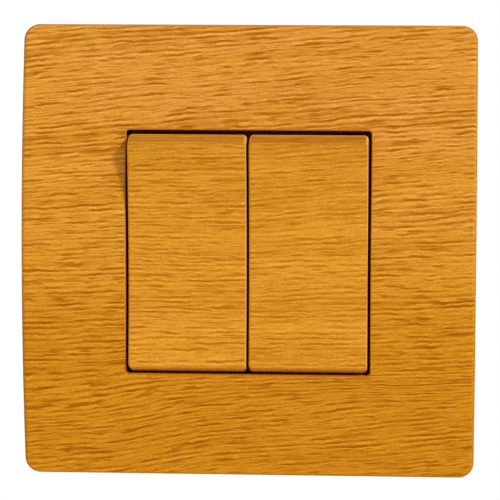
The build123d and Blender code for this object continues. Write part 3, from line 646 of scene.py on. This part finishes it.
# Metals: two tints, roughness, and how they were worked
METALS = {
    "zinc_steel": (srgb(206, 209, 212), srgb(198, 202, 207), 0.36, ROLLED),
    "copper": (srgb(226, 152, 112), srgb(212, 136, 97), 0.32, ROLLED),
    "brass": (srgb(224, 192, 118), srgb(215, 181, 106), 0.32, DRAWN),
    "silver": (srgb(240, 238, 232), srgb(214, 210, 200), 0.25, ROLLED),
    "screw_steel": (srgb(214, 212, 204), srgb(206, 202, 190), 0.3, DRAWN),
    "spring_steel": (srgb(196, 197, 200), srgb(170, 172, 176), 0.28, DRAWN),
}

# Metals: noise of the lines, of the tarnished patches and of the spots, and what they change
LINES_NOISE = (5.0, 3.0, 0.6)
LINES_ROUGHNESS = 0.16
LINES_HEIGHT = 0.006
PATCH_NOISE = (0.3, 4.0, 0.6)
PATCH_SPAN = (0.35, 0.7)
PATCH_ROUGHNESS = 0.1
SPOT_NOISE = (1.7, 2.0)
SPOT_SPAN = (0.55, 0.75)
SPOT_ROUGHNESS = 0.08
SPOT_HEIGHT = 0.004
MEAN_ROUGHNESS = 0.12
METAL_EDGE = 0.15 * MM

# Materials of the single nodes, and of the nodes that have a left and a right one
NODE_MATERIALS = {
    "cover_plate": "oak_film_plate",
    "left_rocker": "oak_film_left",
    "right_rocker": "oak_film_right",
    "support_frame": "zinc_steel",
    "bearing_bridge": "dark_moulding",
    "switch_base": "white_moulding",
    "common_terminal": "brass",
    "terminal_screws": "screw_steel",
    "frame_screws": "screw_steel",
    "claw_screws": "screw_steel",
}
PAIR_MATERIALS = {
    "carrier": "grey_nylon",
    "plunger": "natural_nylon",
    "spring": "spring_steel",
    "blade": "copper",
    "moving_tip": "silver",
    "fixed_tip": "silver",
    "terminal": "brass",
    "claw": "zinc_steel",
}


def moulded_plastic(name, first, second, roughness, texture, gloss):
    """Moulded plastic: a fine eroded texture, and slow changes of tint from the flow in the mould."""
    graph = Graph(name)
    place, _ = graph.place()
    tint = graph.step(graph.noise(place, *TINT_NOISE), *TINT_SPAN)
    fine = graph.noise(place, *TEXTURE_NOISE)
    ripple = graph.noise(place, RIPPLE_SCALE)
    rough = graph.total((fine, TEXTURE_ROUGHNESS), (1.0, roughness - TEXTURE_ROUGHNESS / 2))
    relief = graph.total((fine, texture), (ripple, RIPPLE_HEIGHT))
    return graph.surface({
        "Base Color": graph.mix(tint, first, second),
        "Roughness": rough,
        "Specular IOR Level": gloss,
        "Normal": graph.bump(relief, graph.soft_edge(PLASTIC_EDGE)),
    })


def worked_metal(name, first, second, roughness, squeeze):
    """Bare or plated metal: rolling or drawing lines along one axis, and patches of tarnish."""
    graph = Graph(name)
    place, _ = graph.place()
    lines = graph.noise(graph.vector_math("MULTIPLY", place, squeeze), *LINES_NOISE)
    patches = graph.step(graph.noise(place, *PATCH_NOISE), *PATCH_SPAN)
    spots = graph.step(graph.noise(place, *SPOT_NOISE), *SPOT_SPAN)
    rough = graph.total(
        (lines, LINES_ROUGHNESS),
        (patches, PATCH_ROUGHNESS),
        (spots, SPOT_ROUGHNESS),
        (1.0, roughness - MEAN_ROUGHNESS),
    )
    relief = graph.total((lines, LINES_HEIGHT), (spots, SPOT_HEIGHT))
    return graph.surface({
        "Base Color": graph.mix(patches, first, second),
        "Metallic": 1.0,
        "Roughness": rough,
        "Normal": graph.bump(relief, graph.soft_edge(METAL_EDGE)),
    })


def make_materials():
    """Every material of the switch, by its name."""
    made = {name: moulded_plastic(name, *look) for name, look in PLASTICS.items()}
    for name, look in METALS.items():
        made[name] = worked_metal(name, *look)
    made["oak_film_plate"] = plate_film()
    made["oak_film_left"] = rocker_film("left", left_flow, LEFT_SEED, LEFT_CONTRAST)
    made["oak_film_right"] = rocker_film("right", right_flow, RIGHT_SEED, RIGHT_CONTRAST)
    return made


def finish_nodes(materials):
    """Gives every node of the frame its material."""
    by_node = dict(NODE_MATERIALS)
    for side in SIDES:
        for piece, material in PAIR_MATERIALS.items():
            by_node[f"{side}_{piece}"] = material
    for name, material in by_node.items():
        nodes[name].material_slots[0].material = materials[material]


def wind(name, centre, axis, heights, section, material):
    """A section wound round an axis: its outline as (radius, height) pairs, set at each height in turn."""
    first = axis.orthogonal().normalized()
    second = axis.cross(first)
    points = []
    for step, height in enumerate(heights):
        angle = 2 * math.pi * step / TURN_STEPS
        outward = math.cos(angle) * first + math.sin(angle) * second
        points += [centre + (outward * radius + axis * (height + lift)) * MM for radius, lift in section]
    count = len(section)
    last = len(points) - count
    faces = [tuple(range(count)), tuple(range(last, last + count))]
    for start in range(0, last, count):
        above = start + count
        for corner in range(count):
            following = (corner + 1) % count
            faces.append((start + corner, start + following, above + following, above + corner))
    mesh = bpy.data.meshes.new(name)
    mesh.from_pydata(points, [], faces)
    shape = bmesh.new()
    shape.from_mesh(mesh)
    bmesh.ops.recalc_face_normals(shape, faces=shape.faces)
    shape.to_mesh(mesh)
    shape.free()
    mesh.materials.append(material)
    piece = bpy.data.objects.new(name, mesh)
    bpy.context.scene.collection.objects.link(piece)
    return piece


def middle_x(node):
    """The middle of a node's width."""
    low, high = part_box(node)
    return (low[0] + high[0]) / 2


def spring_heights(length):
    """The heights of a toggle spring's wire, step by step: closed end turns, and open ones between."""
    open_pitch = (length - SPRING_WIRE - 2 * SPRING_CLOSED_PITCH) / (SPRING_TURNS - 2)
    heights = [SPRING_FOOT + SPRING_WIRE / 2]
    for step in range(SPRING_TURNS * TURN_STEPS):
        closed = step < TURN_STEPS or step >= (SPRING_TURNS - 1) * TURN_STEPS
        heights.append(heights[-1] + (SPRING_CLOSED_PITCH if closed else open_pitch) / TURN_STEPS)
    return heights


def add_spring(side, material):
    """A toggle spring at its length at rest, carried by its rocker."""
    axis = Vector((0.0, -math.cos(ROCKER_TILT), -math.sin(ROCKER_TILT)))
    centre = Vector((middle_x(f"{side}_plunger"), ROCKER_PIVOT * MM, 0.0))
    length = SPRING_ROOF - SPRING_FOOT
    wire = SPRING_WIRE / 2
    around = [2 * math.pi * corner / WIRE_CORNERS for corner in range(WIRE_CORNERS)]
    section = [(SPRING_RADIUS + wire * math.cos(angle), wire * math.sin(angle)) for angle in around]
    spring = wind(f"{side}_toggle_spring", centre, axis, spring_heights(length), section, material)
    spring.data.shade_smooth()
    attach(spring, f"{side}_rocker")
    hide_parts(f"{side}_spring")
    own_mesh(spring)


def add_thread(side, material):
    """The thread's ridge on the shank of a claw screw."""
    low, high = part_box("claw_screws")
    head_radius = high[2]
    centre = Vector((low[0] + head_radius if side == "left" else high[0] - head_radius, 0.0, 0.0))
    steps = round((THREAD_END - THREAD_START) / THREAD_PITCH * TURN_STEPS)
    heights = [THREAD_START + THREAD_PITCH * step / TURN_STEPS for step in range(steps + 1)]
    section = [
        (THREAD_ROOT, -THREAD_FOOT_HALF),
        (THREAD_CREST, -THREAD_CREST_HALF),
        (THREAD_CREST, THREAD_CREST_HALF),
        (THREAD_ROOT, THREAD_FOOT_HALF),
    ]
    thread = wind(f"{side}_claw_thread", centre, Vector((0.0, 1.0, 0.0)), heights, section, material)
    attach(thread, "housing")


def add_camera():
    """A camera at the photograph's viewing point."""
    forward = (CAMERA_AIM - CAMERA_EYE).normalized()
    level = forward.cross(Vector((0, 0, 1))).normalized()
    upright = level.cross(forward)
    side = math.cos(CAMERA_ROLL) * level + math.sin(CAMERA_ROLL) * upright
    up = math.cos(CAMERA_ROLL) * upright - math.sin(CAMERA_ROLL) * level
    data = bpy.data.cameras.new("camera")
    data.sensor_width = SENSOR_WIDTH
    data.lens = FOCAL_PIXELS / IMAGE_PIXELS * SENSOR_WIDTH
    data.clip_start = CLIP_START
    camera = bpy.data.objects.new("camera", data)
    turn = Matrix((side, up, -forward)).transposed().to_4x4()
    camera.matrix_world = Matrix.Translation(CAMERA_EYE) @ turn
    bpy.context.scene.collection.objects.link(camera)
    bpy.context.scene.camera = camera


def add_key_lamp():
    """A soft lamp at the right of the switch, above it and in front of it."""
    data = bpy.data.lights.new("key_lamp", "AREA")
    data.shape = "DISK"
    data.size = KEY_WIDTH
    data.energy = KEY_POWER
    lamp = bpy.data.objects.new("key_lamp", data)
    lamp.location = KEY_DIRECTION * KEY_DISTANCE
    lamp.rotation_euler = KEY_DIRECTION.to_track_quat("Z", "Y").to_euler()
    bpy.context.scene.collection.objects.link(lamp)


def add_world():
    """Even fill light from all round, which the camera, gloss and glass see as white."""
    world = bpy.data.worlds.new("studio")
    bpy.context.scene.world = world
    world.use_nodes = True
    tree = world.node_tree
    tree.nodes.clear()
    path = tree.nodes.new("ShaderNodeLightPath")
    seen = path.outputs["Is Camera Ray"]
    for other in ("Is Glossy Ray", "Is Transmission Ray"):
        either = tree.nodes.new("ShaderNodeMath")
        either.operation = "MAXIMUM"
        tree.links.new(seen, either.inputs[0])
        tree.links.new(path.outputs[other], either.inputs[1])
        seen = either.outputs[0]
    fill = tree.nodes.new("ShaderNodeBackground")
    fill.inputs["Strength"].default_value = FILL_LEVEL
    white = tree.nodes.new("ShaderNodeBackground")
    white.inputs["Strength"].default_value = WHITE_LEVEL
    for shade in (fill, white):
        shade.inputs["Color"].default_value = WHITE
    mix = tree.nodes.new("ShaderNodeMixShader")
    output = tree.nodes.new("ShaderNodeOutputWorld")
    tree.links.new(seen, mix.inputs[0])
    tree.links.new(fill.outputs[0], mix.inputs[1])
    tree.links.new(white.outputs[0], mix.inputs[2])
    tree.links.new(mix.outputs[0], output.inputs["Surface"])


def add_floor():
    """A pale round floor below the switch, which fades into the white at its rim."""
    graph = Graph("pale_floor")
    x, y, _ = graph.split(graph.add("TexCoord").outputs["Object"])
    radius = graph.math("SQRT", graph.math("ADD", graph.times(x, x), graph.times(y, y)))
    graph.surface({
        "Base Color": FLOOR_COLOUR,
        "Roughness": FLOOR_ROUGHNESS,
        "Alpha": graph.step(radius, FLOOR_RADIUS, FLOOR_RADIUS - FLOOR_FADE),
    })
    bpy.ops.mesh.primitive_circle_add(vertices=FLOOR_CORNERS, radius=FLOOR_RADIUS, fill_type="NGON")
    floor = bpy.context.object
    floor.name = "floor"
    floor.location = (0, 0, cad_box[0].z - FLOOR_DROP)
    floor.data.materials.append(graph.material)


materials = make_materials()
finish_nodes(materials)
for side in SIDES:
    add_spring(side, materials["spring_steel"])
    add_thread(side, materials["screw_steel"])
add_camera()
add_key_lamp()
add_world()
add_floor()
bpy.context.scene.view_settings.view_transform = "Standard"
